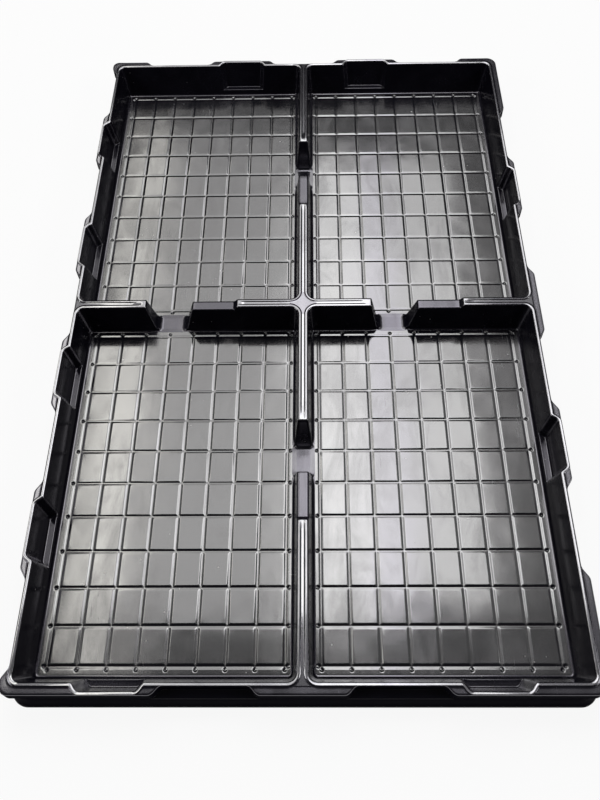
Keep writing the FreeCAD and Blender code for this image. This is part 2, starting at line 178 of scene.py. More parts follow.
# Each side in the order of a walk round the tray: heading along its plan axis, tab pitch, and the
# places, in pitches from its middle, where the flange narrows or widens.
SIDES = {
    "near": (1, END_PITCH, (-1.5, -0.5, 0.5, 1.5)),
    "right": (1, SIDE_PITCH, (-3.5, -2.5, -1.5, -0.5, 0.5, 1.5, 2.5, 3.5)),
    "far": (-1, END_PITCH, (-2.5, -1.5, -0.5, 0.5, 1.5, 2.5)),
    "left": (-1, SIDE_PITCH, (-4.5, -3.5, -2.5, -1.5, -0.5, 0.5, 1.5, 2.5, 3.5, 4.5)),
}
POCKETS = {"near": (-2, 2), "right": (-2, 2), "far": (-1, 1), "left": (-3, -1, 1, 3)}
HEADINGS = np.array([(1.0, 0.0), (0.0, 1.0), (-1.0, 0.0), (0.0, -1.0)])
OUTWARDS = np.array([(0.0, -1.0), (1.0, 0.0), (0.0, 1.0), (-1.0, 0.0)])
BAYS = {"far_left": (-1, 1), "far_right": (1, 1), "near_left": (-1, -1), "near_right": (1, -1)}
# Each divider arm: its axis (0 for X), where its pattern starts, and which way it runs.
ARMS = {
    "left": (0, -OPENING[0], 1),
    "right": (0, 0.0, 1),
    "far": (1, OPENING[1], -1),
    "near": (1, 0.0, -1),
}
rng = np.random.default_rng(20)


# ---- curves ------------------------------------------------------------------------------------
def bend(x, half):
    """0 below -half, x above +half, and the parabola that joins them in between."""
    return np.where(x <= -half, 0.0, np.where(x >= half, x, (x + half) ** 2 / (4 * half)))


def rise(x, run, half):
    """From 0 to 1 along a straight slope of the given run centred on x = 0, with curved ends."""
    return (bend(x + run / 2, half) - bend(x - run / 2, half)) / run


def ease(x):
    """Smooth step from 0 to 1 as x goes from 0 to 1."""
    x = np.clip(x, 0, 1)
    return x * x * (3 - 2 * x)


def soft_min(a, b, reach):
    """The smaller of two distances, with the crease between them rounded over the reach."""
    share = np.clip(0.5 + 0.5 * (b - a) / reach, 0, 1)
    return b + (a - b) * share - reach * share * (1 - share)


def spread(low, high, centres, reach):
    """Sorted places from low to high: coarse spacing, and fine spacing within reach of a centre."""
    places = [np.linspace(low, high, int((high - low) / COARSE) + 2)]
    for centre in centres:
        near = np.linspace(centre - reach, centre + reach, int(2 * reach / FINE) + 1)
        places[0] = places[0][(places[0] < near[0] - FINE / 2) | (places[0] > near[-1] + FINE / 2)]
        places.append(near)
    merged = np.unique(np.concatenate(places + [np.array([low, high])]))
    merged = merged[(merged >= low) & (merged <= high)]
    keep = np.concatenate([[True], np.diff(merged) > FINE / 2])
    keep[-1] = True
    return merged[keep]


def narrowing(side, along):
    """How far a side's flange is drawn in, at plan places along the side."""
    _, pitch, breaks = SIDES[side]
    long_side = side in ("left", "right")
    share = np.zeros_like(along)
    for i, place in enumerate(breaks):
        share += ((1 - 2 * (i % 2))
                  * rise(along - place * pitch, TAB_RUN[long_side], TAB_BEND[long_side]))
    return TAB_DEPTH[long_side] * share


def pocket_share(side, along, height):
    """1 inside a side's pockets and 0 outside, with slanted ends that close in towards the ledge."""
    taper = POCKET_TAPER * np.clip((HEIGHT - height) / (HEIGHT - POCKET_Z), 0, 1)
    half = (POCKET_LENGTH + POCKET_END_RUN) / 2 - taper
    share = np.zeros_like(along)
    for place in POCKETS[side]:
        middle = place * SIDES[side][1]
        share += rise(along - middle + half, POCKET_END_RUN, POCKET_END_BEND)
        share -= rise(along - middle - half, POCKET_END_RUN, POCKET_END_BEND)
    return share


# ---- plan rings --------------------------------------------------------------------------------
def walk_ring(outs, radii, runs, turn):
    """One lap round a rounded rectangle, the same stations for every ring of a piece.

    Each side is a straight line at its distance outs[i], sampled at runs[i]. Each corner starts
    where that run ends: straight on to the arc, round a quarter circle, and straight to the next
    run, sampled at the shares in turn. Returns plan points, outward normals, the side of each
    station (or -1 on an arc) and the heading coordinate along it.
    """
    points, normals, sides, places = [], [], [], []
    for i in range(4):
        ahead, out = HEADINGS[i], OUTWARDS[i]
        following = (i + 1) % 4
        run, radius = runs[i], radii[i]
        points.append(run[:, None] * ahead + outs[i] * out)
        normals.append(np.repeat(out[None], len(run), 0))
        sides.append(np.full(len(run), i))
        places.append(run)
        before = outs[following] - radius - run[-1]
        after = runs[following][0] + outs[i] - radius
        walked = turn * (before + radius * math.pi / 2 + after)
        angle = np.clip((walked - before) / radius, 0, math.pi / 2)
        first = np.minimum(walked, before)
        last = np.maximum(walked - before - radius * math.pi / 2, 0)
        normal = np.cos(angle)[:, None] * out + np.sin(angle)[:, None] * ahead
        centre = (run[-1] + first)[:, None] * ahead + (outs[i] - radius - last)[:, None] * out
        points.append(centre + radius * normal)
        normals.append(normal)
        sides.append(np.where(angle <= 0, i, np.where(angle >= math.pi / 2, following, -1)))
        places.append(np.where(last > 0, -(outs[i] - radius - last), run[-1] + first))
    return (np.concatenate(points), np.concatenate(normals), np.concatenate(sides),
            np.concatenate(places))


def beyond_bays(x, y):
    """Distance from a plan point outwards to the nearest bay opening, pockets left out."""
    x, y = np.abs(x), np.abs(y)
    inner = DIVIDER_TOP / 2
    middle = (inner + OPENING) / 2
    half = (OPENING - inner) / 2
    right, far = x > middle[0], y > middle[1]
    radius = np.where(right & far, RIM_RADIUS["outer"],
                      np.where(right | far, RIM_RADIUS["mouth"], RIM_RADIUS["hub"]))
    across = np.abs(x - middle[0]) - half[0] + radius
    along = np.abs(y - middle[1]) - half[1] + radius
    outside = np.hypot(np.maximum(across, 0), np.maximum(along, 0))
    return outside + np.minimum(np.maximum(across, along), 0) - radius


# ---- meshes ------------------------------------------------------------------------------------
def make_piece(name, grid, material, nodes, closed=False):
    """One mesh from a grid of points, rows x stations x 3; a closed grid's last stations join its
    first.

    Faces join neighbouring rows and stations, and face up or out when the rows go outwards and the
    stations anticlockwise. The skin then gets its thickness on its under side, with crisp edges
    where the grid ends, so that light runs on from one piece to the next.
    """
    rows, stations = grid.shape[:2]
    index = np.arange(rows * stations).reshape(rows, stations)
    if closed:
        index = np.concatenate([index, index[:, :1]], axis=1)
    faces = np.stack([index[:-1, :-1], index[1:, :-1], index[1:, 1:], index[:-1, 1:]], axis=-1)
    mesh = bpy.data.meshes.new(name)
    mesh.from_pydata(grid.reshape(-1, 3) * MM, [], faces.reshape(-1, 4).tolist())
    mesh.polygons.foreach_set("use_smooth", np.ones(len(mesh.polygons), bool))
    mesh.materials.append(material)
    mesh.validate()
    edge_of_loop = np.empty(len(mesh.loops), np.int32)
    mesh.loops.foreach_get("edge_index", edge_of_loop)
    open_edges = np.bincount(edge_of_loop, minlength=len(mesh.edges)) == 1
    mesh.edges.foreach_set("use_edge_sharp", open_edges)
    piece = bpy.data.objects.new(name, mesh)
    bpy.context.scene.collection.objects.link(piece)
    skin = piece.modifiers.new("sheet thickness", "SOLIDIFY")
    skin.thickness = SHEET * MM
    skin.offset = -1.0
    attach(piece, "root")
    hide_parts(*nodes)


# ---- floors ------------------------------------------------------------------------------------
def groove_lines(axis):
    """Centre lines of a bay's grooves along one plan axis, from the divider outwards."""
    count = (GROOVE_COLUMNS, GROOVE_ROWS)[axis]
    return np.linspace(FIRST_GROOVE[axis], LAST_GROOVE[axis], count)


def floor_lines(axis):
    """Grid lines of a floor along one axis: close together over each groove's two sides."""
    steps = np.array([-1.45, -1.15, -0.7, -0.3, 0.0, 0.3, 0.65])
    around = np.concatenate([-(GROOVE_HALF + steps), [0.0], GROOVE_HALF + steps])
    grooves = groove_lines(axis)
    pitch = grooves[1] - grooves[0]
    pads = (grooves[:-1, None] + pitch * np.array([0.25, 0.5, 0.75])).ravel()
    ends = GROOVE_TIP + steps
    places = [(grooves[:, None] + around).ravel(), pads, grooves[0] - ends, grooves[-1] + ends,
              [DIVIDER_FOOT / 2, DIVIDER_FOOT / 2 + 0.7, FLOOR[axis] - 0.7, FLOOR[axis]]]
    return np.unique(np.concatenate(places).round(4))


def groove_distance(x, y):
    """Plan distance to the nearest groove's edge, negative inside, with pad corners rounded."""
    columns, rows = groove_lines(0), groove_lines(1)
    reach = GROOVE_TIP - GROOVE_HALF

    def to_line(across, along, lines, others):
        pitch = lines[1] - lines[0]
        index = np.clip(np.round((across - lines[0]) / pitch), 0, len(lines) - 1)
        beside = across - (lines[0] + index * pitch)
        beyond = np.maximum(np.maximum(others[0] - reach - along, along - others[-1] - reach), 0)
        return np.hypot(beside, beyond) - GROOVE_HALF

    return soft_min(to_line(x, y, columns, rows), to_line(y, x, rows, columns), PAD_CORNER)


def dimple_share(x, y):
    """1 at the middle of the dimples that end the grooves, falling to 0 at their edges."""
    columns, rows = groove_lines(0), groove_lines(1)
    reach = GROOVE_TIP - GROOVE_HALF

    def from_ends(across, along, lines, others):
        beside = np.abs(across[..., None] - lines).min(axis=-1)
        beyond = np.minimum(np.abs(along - others[0] + reach), np.abs(along - others[-1] - reach))
        return np.hypot(beside, beyond)

    nearest = np.minimum(from_ends(x, y, columns, rows), from_ends(y, x, rows, columns))
    return 1 - ease(nearest / GROOVE_HALF)


def pad_sag(x, y, columns, rows):
    """Height changes of the pads: each tips a little its own way and dips at its middle."""
    column = np.searchsorted(columns, x)
    row = np.searchsorted(rows, y)
    on_pad = ((column > 0) & (column < len(columns)) & (row > 0) & (row < len(rows)))
    tips = rng.normal(0.0, PAD_TIP, (2, len(columns) + 1, len(rows) + 1))
    dips = rng.uniform(*PAD_DIP, (len(columns) + 1, len(rows) + 1))
    pitch = np.array([columns[1] - columns[0], rows[1] - rows[0]])
    from_x = x - (columns[0] + (column - 0.5) * pitch[0])
    from_y = y - (rows[0] + (row - 0.5) * pitch[1])
    bowl = (1 - (2 * from_x / pitch[0]) ** 2) * (1 - (2 * from_y / pitch[1]) ** 2)
    tipped = tips[0, column, row] * from_x + tips[1, column, row] * from_y
    return np.where(on_pad, tipped - dips[column, row] * bowl, 0.0)


def floor(bay, material):
    """A bay's floor: almost flat pads, cut by grooves with a dimple at each end.

    Height = pad height - groove depth * slope(distance into the groove) - dimple depth * its share
    - the edge's tuck + the pad's own sag, over a grid of plan lines.
    """
    sx, sy = BAYS[bay]
    x, y = np.meshgrid(floor_lines(0), floor_lines(1))
    inside = -groove_distance(x, y)
    depth = rise(inside - GROOVE_WALL / 2, GROOVE_WALL, GROOVE_BEND)
    edge = np.minimum(np.minimum(x - DIVIDER_FOOT / 2, FLOOR[0] - x),
                      np.minimum(y - DIVIDER_FOOT / 2, FLOOR[1] - y))
    tuck = FLOOR_TUCK * (1 - ease(edge / TUCK_RUN))
    sag = pad_sag(x, y, groove_lines(0), groove_lines(1)) * (1 - ease(depth * 2))
    z = PAD_Z - GROOVE_DEPTH * depth - DIMPLE_DEPTH * dimple_share(x, y) - tuck + sag
    grid = np.stack([sx * x, sy * y, z], axis=-1)
    if sx * sy > 0:
        grid = grid[:, ::-1]
    make_piece("bay_floor_" + bay, grid, material, ["floor_" + bay])


# ---- divider arms ------------------------------------------------------------------------------
def rounded_path(corners):
    """Points and upward normals of a line through (place, height, radius) corners, the corners
    turned as arcs and the straight runs sampled no further apart than the path's step."""
    points = np.array([c[:2] for c in corners], float)
    radii = [c[2] for c in corners]
    stretches = np.diff(points, axis=0)
    ways = stretches / np.linalg.norm(stretches, axis=1)[:, None]
    path, normals = [], []
    leave = points[0]
    for i in range(1, len(points)):
        way = ways[i - 1]
        up = np.array([-way[1], way[0]])
        cut = 0.0
        if i < len(points) - 1:
            turn = math.atan2(way[0] * ways[i][1] - way[1] * ways[i][0], way @ ways[i])
            cut = radii[i] * math.tan(abs(turn) / 2)
        arrive = points[i] - way * cut
        steps = max(2, int(np.linalg.norm(arrive - leave) / PATH_STEP) + 2)
        shares = np.linspace(0, 1, steps)[:, None]
        path.append(leave + (arrive - leave) * shares)
        normals.append(np.repeat(up[None], steps, 0))
        if cut:
            side = np.sign(turn)
            centre = arrive + up * side * radii[i]
            angles = np.linspace(0, turn, max(4, int(abs(turn) / ARC_STEP)))[1:-1]
            swung = np.stack([np.cos(angles), np.sin(angles)], -1)
            ups = np.stack([-way[1] * swung[:, 0] - way[0] * swung[:, 1],
                            way[0] * swung[:, 0] - way[1] * swung[:, 1]], -1)
            path.append(centre - side * radii[i] * ups)
            normals.append(ups)
            leave = points[i] + ways[i] * cut
    return np.concatenate(path), np.concatenate(normals)


def arm_corners(arm):
    """(distance from the arm's start, height, radius) corners of its crest line."""
    axis, start, way = ARMS[arm]
    low, high = node_box("divider_%s_gap_floor" % arm)
    flat = sorted(((low[axis] - start) * way, (high[axis] - start) * way))

    def reach(lean):
        return GAP_FILLET * math.tan((math.pi / 2 - math.atan2(lean, WALL_HEIGHT)) / 2)

    foot = flat[0] - reach(GAP_LEAN)
    floor_end = flat[1] + reach(LOW_SIDE_LEAN)
    low_z = HEIGHT - LOW_CREST_DROP
    low_start = floor_end + LOW_SIDE_LEAN * (low_z - PAD_Z) / WALL_HEIGHT
    low_end = low_start + LOW_CREST
    return [(foot - GAP_LEAN, HEIGHT, CREST_BEND), (foot, PAD_Z, GAP_FILLET),
            (floor_end, PAD_Z, GAP_FILLET), (low_start, low_z, CREST_BEND),
            (low_end, low_z, CREST_BEND), (low_end + LOW_CREST_STEP, HEIGHT, CREST_BEND)]


def arm_line(arm, inner, outer):
    """An arm's crest line between two distances from the tray's centre, as plan place, height,
    and the crest's upward normal along and up, with the places growing."""
    axis, start, way = ARMS[arm]
    sign = 1 if (way > 0) == (start == 0) else -1
    corners = [(start + way * u, z, r) for u, z, r in arm_corners(arm)]
    corners.sort(key=lambda corner: corner[0])
    low, high = sorted((sign * inner, sign * outer))
    corners = [(low, HEIGHT, 0.0)] + corners + [(high, HEIGHT, 0.0)]
    path, normals = rounded_path(corners)
    keep = np.concatenate([[True], np.diff(path[:, 0]) > 1e-4])
    return path[keep], normals[keep]


def stand(height):
    """0 where the divider has no height above the pads, and 1 where it stands clear of them."""
    return ease((height - PAD_Z) / STAND_RISE)


def divider_half(height):
    """Half width of the divider at a height: half its top + lean * depth under the top."""
    return DIVIDER_TOP / 2 + DIVIDER_LEAN * (HEIGHT - height)


def crest_half(height):
    """Half width of the crest strip, between the bay walls' top rows."""
    share = stand(height)
    return (share * (divider_half(height) - BEAD * share)
            + (1 - share) * (DIVIDER_FOOT / 2 - FLAT_REACH))


def bead_height(distance):
    """Height of the rim between beads: full at the bead's crest, then falling to the flange."""
    return HEIGHT - BEAD_DROP * ease((distance - BEAD) / BEAD_FALL)


def divider_arm(arm, material):
    """Crest of one arm: a strip that follows the arm's height, with the valley between its beads.

    Across, it goes from one bay wall's top row to the other's; it flares where it meets the rim.
    """
    axis, start, way = ARMS[arm]
    sign = 1 if (way > 0) == (start == 0) else -1
    hub = DIVIDER_TOP / 2 + RIM_RADIUS["hub"]
    rim = OPENING[axis] + BEAD
    mouth = RIM_RADIUS["mouth"]
    path, _ = arm_line(arm, hub, rim - mouth - BEAD)
    angles = np.linspace(0, math.pi / 2, ROUND_FLARE)
    flare = rim - mouth - BEAD + (mouth + BEAD) * np.sin(angles)
    flare_half = DIVIDER_TOP / 2 - BEAD + (mouth + BEAD) * (1 - np.cos(angles))
    places, heights = path[:, 0], path[:, 1]
    halves = crest_half(heights)
    flare_heights = np.full(len(angles) - 1, HEIGHT)
    if sign > 0:
        places = np.concatenate([places, flare[1:]])
        halves = np.concatenate([halves, flare_half[1:]])
        heights = np.concatenate([heights, flare_heights])
    else:
        places = np.concatenate([-flare[:0:-1], places])
        halves = np.concatenate([flare_half[:0:-1], halves])
        heights = np.concatenate([flare_heights, heights])
    across = np.linspace(-1, 1, ACROSS_CREST)[:, None] * halves
    along = np.repeat(places[None], len(across), 0)
    x, y = (along, across) if axis == 0 else (-across, along)
    corners = arm_corners(arm)
    from_start = (along - start) * way
    past_stop = np.maximum(from_start - (corners[0][0] - VALLEY_STOP), 0)
    before_again = np.maximum(corners[-1][0] + VALLEY_START - from_start, 0)
    to_valley_end = np.where(from_start < corners[2][0], past_stop, before_again)
    axis_half = DIVIDER_TOP / 2
    distance = np.where(to_valley_end > 0, axis_half - np.hypot(to_valley_end, across),
                        beyond_bays(x, y))
    z = heights - (HEIGHT - bead_height(distance))
    grid = np.stack([x, y, z], axis=-1)
    parts = ["divider_%s_%s" % (arm, part) for part in ("first_ridge", "gap_floor", "second_ridge")]
    make_piece("divider_crest_" + arm, grid[::-1], material, parts)


def divider_hub(material):
    """The crossing: a square strip whose four corners are cut by the bays' rounded corners."""
    radius = RIM_RADIUS["hub"] + BEAD
    edge = DIVIDER_TOP / 2 + RIM_RADIUS["hub"]
    angles = np.linspace(0, math.pi / 2, ROUND_FLARE)
    places = edge - radius * np.sin(angles)
    halves = edge - radius * np.cos(angles)
    core = np.linspace(-places[-1], places[-1], 7)[1:-1]
    along = np.concatenate([-places, core, places[::-1]])
    half = np.concatenate([halves, np.full(len(core), edge), halves[::-1]])
    across = np.linspace(-1, 1, ACROSS_HUB)[:, None] * half
    x, y = across, np.repeat(along[None], len(across), 0)
    grid = np.stack([x, y, bead_height(beyond_bays(x, y))], axis=-1)
    make_piece("divider_crest_hub", grid, material, ["divider_hub"])


# ---- bay walls ---------------------------------------------------------------------------------
def bay_outs(sx, sy, height):
    """Distances outwards of a bay's four sides at a height, in walking order."""
    lean = (HEIGHT - height) / WALL_HEIGHT
    inner = divider_half(height)
    outer = OPENING - (OPENING - FLOOR) * lean
    xs = sorted((sx * inner, sx * outer[0]))
    ys = sorted((sy * inner, sy * outer[1]))
    return [-ys[0], xs[1], ys[1], -xs[0]]


def bay_radii(sx, sy, height):
    """Plan radii of a bay's four corners at a height, in walking order: near right first."""
    share = (height - PAD_Z) / WALL_HEIGHT
    radii = []
    for cx, cy in ((1, -1), (1, 1), (-1, 1), (-1, -1)):
        kind = ("hub", "mouth", "outer")[(cx == sx) + (cy == sy)]
        top = RIM_RADIUS[kind]
        radii.append(FOOT_RADIUS + (top - FOOT_RADIUS) * share)
    return radii


def on_divider(sx, sy):
    """Whether each of a bay's four sides is a side of the divider, in walking order."""
    return sy > 0, sx < 0, sy < 0, sx > 0


def bay_runs(sx, sy):
    """Stations of a bay's four straight sides, with the crest height and normal at each."""
    hub = DIVIDER_TOP / 2 + RIM_RADIUS["hub"]
    sides = []
    for i, side in enumerate(SIDES):
        axis = i % 2
        heading = SIDES[side][0]
        run_end = OPENING[axis] - END_CUT[axis]
        own = (sx, sy)[axis]
        if on_divider(sx, sy)[i]:
            arm = (("left", "right")[sx > 0] if axis == 0 else ("near", "far")[sy > 0])
            path, normals = arm_line(arm, hub, run_end)
            places, tops = path[:, 0], path[:, 1]
        else:
            middles = [place * SIDES[side][1] for place in POCKETS[side]]
            half = (POCKET_LENGTH + POCKET_END_RUN - POCKET_TAPER) / 2
            centres = [m + e * half for m in middles for e in (-1, 1)]
            low, high = sorted((own * (hub + 0.1), own * run_end))
            centres = [c for c in centres if low < c < high]
            places = spread(low, high, centres, WALL_REACH)
            tops = np.full(len(places), HEIGHT)
            normals = np.repeat(np.array([[0.0, 1.0]]), len(places), 0)
        if heading < 0:
            places, tops, normals = -places[::-1], tops[::-1], normals[::-1] * (-1, 1)
        sides.append((places, tops, normals))
    return sides


def wall_profile():
    """Rows of a bay wall from the floor up: (height, outward offset, pocket share, height over
    the pocket's ledge, or None where a row isn't on the ledge).

    A fillet, the lower wall, the turn on to and off the ledge, the upper wall, and a quarter of an
    ellipse up to the bead's crest.
    """
    rows = []
    turn = math.pi / 2 - FLOOR_FILLET_LEAN
    start = FLOOR_FILLET * math.tan(turn / 2)
    for angle in np.linspace(0, turn, 7):
        height = PAD_Z + FLOOR_FILLET * (1 - math.cos(angle))
        lean = (OPENING[0] - FLOOR[0]) / WALL_HEIGHT * (height - PAD_Z)
        rows.append((height, -start + FLOOR_FILLET * math.sin(angle) - lean, 0.0, None))
    rows.append((height + HOLD, 0.0, 0.0, None))
    rows.append((POCKET_Z - 1.5 * POCKET_BEND, 0.0, 0.0, None))
    for angle in np.linspace(0, math.pi / 2, 5):
        out = POCKET_BEND * (1 - math.cos(angle)) / POCKET_DEPTH
        rows.append((POCKET_Z, 0.0, out, POCKET_BEND * (math.sin(angle) - 1)))
    past_bend = POCKET_BEND + LEDGE_HOLD
    for out in (past_bend, POCKET_DEPTH / 2, POCKET_DEPTH - past_bend):
        rows.append((POCKET_Z, 0.0, out / POCKET_DEPTH, -POCKET_FALL * out))
    for angle in np.linspace(0, math.pi / 2, 5):
        out = 1 - POCKET_BEND * (1 - math.sin(angle)) / POCKET_DEPTH
        rows.append((POCKET_Z, 0.0, out,
                     POCKET_BEND * (1 - math.cos(angle)) - POCKET_FALL * POCKET_DEPTH * out))
    rows.append((POCKET_Z + 1.5 * POCKET_BEND, 0.0, 1.0, None))
    for height in np.linspace(POCKET_Z + 4.0, HEIGHT - BEAD_RISE - HOLD, 5):
        rows.append((height, 0.0, 1.0, None))
    for angle in np.linspace(0, math.pi / 2, BEAD_ROWS):
        rows.append((HEIGHT - BEAD_RISE * (1 - math.sin(angle)), BEAD * (1 - math.cos(angle)),
                     1.0, None))
    return rows


def bay_wall(bay, material, bead_material):
    """All four walls of a bay as one closed band, from the floor fillet up to the bead's crest.

    Each row is a rounded rectangle that leans with the walls. Along the divider the rows close up
    under the crest line, and spread flat over the floor where the divider has a gap.
    """
    sx, sy = BAYS[bay]
    sides = bay_runs(sx, sy)
    runs = [side[0] for side in sides]
    turn = np.linspace(0, 1, WALL_TURN)[1:-1]
    tops, normals = [], []
    for _, top, normal in sides:
        tops += [top, np.full(len(turn), HEIGHT)]
        normals += [normal, np.repeat(np.array([[0.0, 1.0]]), len(turn), 0)]
    top, normal = np.concatenate(tops), np.concatenate(normals)
    share = stand(top)
    rows = wall_profile()
    ledge_rows = [i for i, row in enumerate(rows) if row[3] is not None]
    flat_from = rows[0][1]
    grid = []
    for i, (height, offset, pocket, ledge) in enumerate(rows):
        if ledge is not None:
            order = (i - ledge_rows[0]) / (len(ledge_rows) - 1)
            height = POCKET_Z + POCKET_BEND * (2 * order - 1)
        outs = bay_outs(sx, sy, height)
        points, outward, side, place = walk_ring(outs, bay_radii(sx, sy, height), runs, turn)
        # Height of this row at each station: the wall rows are squeezed under the crest line.
        drop = min(HEIGHT - height, BEAD_RISE)
        crest_side = top - normal[:, 1] * drop * share
        if height > HEIGHT - BEAD_RISE:
            z = crest_side
        else:
            z = PAD_Z + (height - PAD_Z) * (crest_side - PAD_Z) / (HEIGHT - BEAD_RISE - PAD_Z)
        # The divider's sides lean, so a squeezed row also moves towards the bay.
        squeezed = (height - z) * DIVIDER_LEAN
        # Pockets, and the true normals on their slanted ends.
        depth = np.zeros(len(top))
        slope = np.zeros(len(top))
        for k, name in enumerate(SIDES):
            here = side == k
            if not here.any() or on_divider(sx, sy)[k]:
                continue
            along = place[here] * SIDES[name][0]
            depth[here] = pocket_share(name, along, height)
            change = (pocket_share(name, along + SLOPE_STEP, height)
                      - pocket_share(name, along - SLOPE_STEP, height)) / (2 * SLOPE_STEP)
            slope[here] = POCKET_DEPTH * pocket * change * SIDES[name][0]
        ahead = np.stack([-outward[:, 1], outward[:, 0]], -1)
        true_out = outward - slope[:, None] * ahead
        true_out /= np.linalg.norm(true_out, axis=1)[:, None]
        if ledge is not None:
            into = ease(depth * 3)
            z = z + (POCKET_Z + ledge - z) * into
        factor = np.where(top < HEIGHT, share, 1.0)
        lateral = (POCKET_DEPTH * pocket * depth - squeezed)[:, None] * outward
        lateral = lateral + (offset * factor)[:, None] * true_out
        shift = -normal[:, 0] * drop * share
        standing = points + lateral + shift[:, None] * ahead
        # Over a gap's floor the rows lie side by side instead.
        order = i / (len(rows) - 1)
        foot_points, _, _, _ = walk_ring(bay_outs(sx, sy, PAD_Z), bay_radii(sx, sy, PAD_Z), runs,
                                         turn)
        reach = flat_from + order * (FLAT_REACH - flat_from)
        lying = foot_points + reach * outward
        weight = share[:, None]
        plan = standing * weight + lying * (1 - weight)
        z = z * share + (PAD_Z + (top - PAD_Z) * order) * (1 - share)
        grid.append(np.concatenate([plan, z[:, None]], axis=1))
    end, side_name = bay.split("_")[0], bay.split("_")[1]
    nodes = ["wall_%s_%s" % (end, side_name), "wall_%s_%s" % (side_name, end)]
    grid = np.array(grid)
    split = len(rows) - BEAD_ROWS
    make_piece("bay_wall_" + bay, grid[:split + 1], material, nodes, closed=True)
    make_piece("bay_bead_" + bay, grid[split:], bead_material, nodes, closed=True)


# ---- rim and skirt -----------------------------------------------------------------------------
def rim_ring(outs, radii, runs, turn, notched=False, pocket=0.0, offset=0.0):
    """A ring of the rim, drawn in by the flange's narrow lengths or pushed out by the pockets,
    and then moved by an offset along its true normal. Also returns the length of a true normal
    that reaches one millimetre outwards, which grows where the outline is slanted."""
    points, outward, side, place = walk_ring(outs, radii, runs, turn)
    moved = np.zeros(len(points))
    slope = np.zeros(len(points))
    for k, name in enumerate(SIDES):
        here = side == k
        along = place[here] * SIDES[name][0]

        def shape(at):
            return pocket * pocket_share(name, at, HEIGHT) - notched * narrowing(name, at)

        moved[here] = shape(along)
        change = (shape(along + SLOPE_STEP) - shape(along - SLOPE_STEP)) / (2 * SLOPE_STEP)
        slope[here] = change * SIDES[name][0]
    ahead = np.stack([-outward[:, 1], outward[:, 0]], -1)
    true_out = outward - slope[:, None] * ahead
    steep = np.linalg.norm(true_out, axis=1)
    true_out /= steep[:, None]
    return points + moved[:, None] * outward + offset * true_out, steep


def rim_outs(half):
    """The four sides' distances outwards for a ring of these half sizes."""
    return [half[1], half[0], half[1], half[0]]


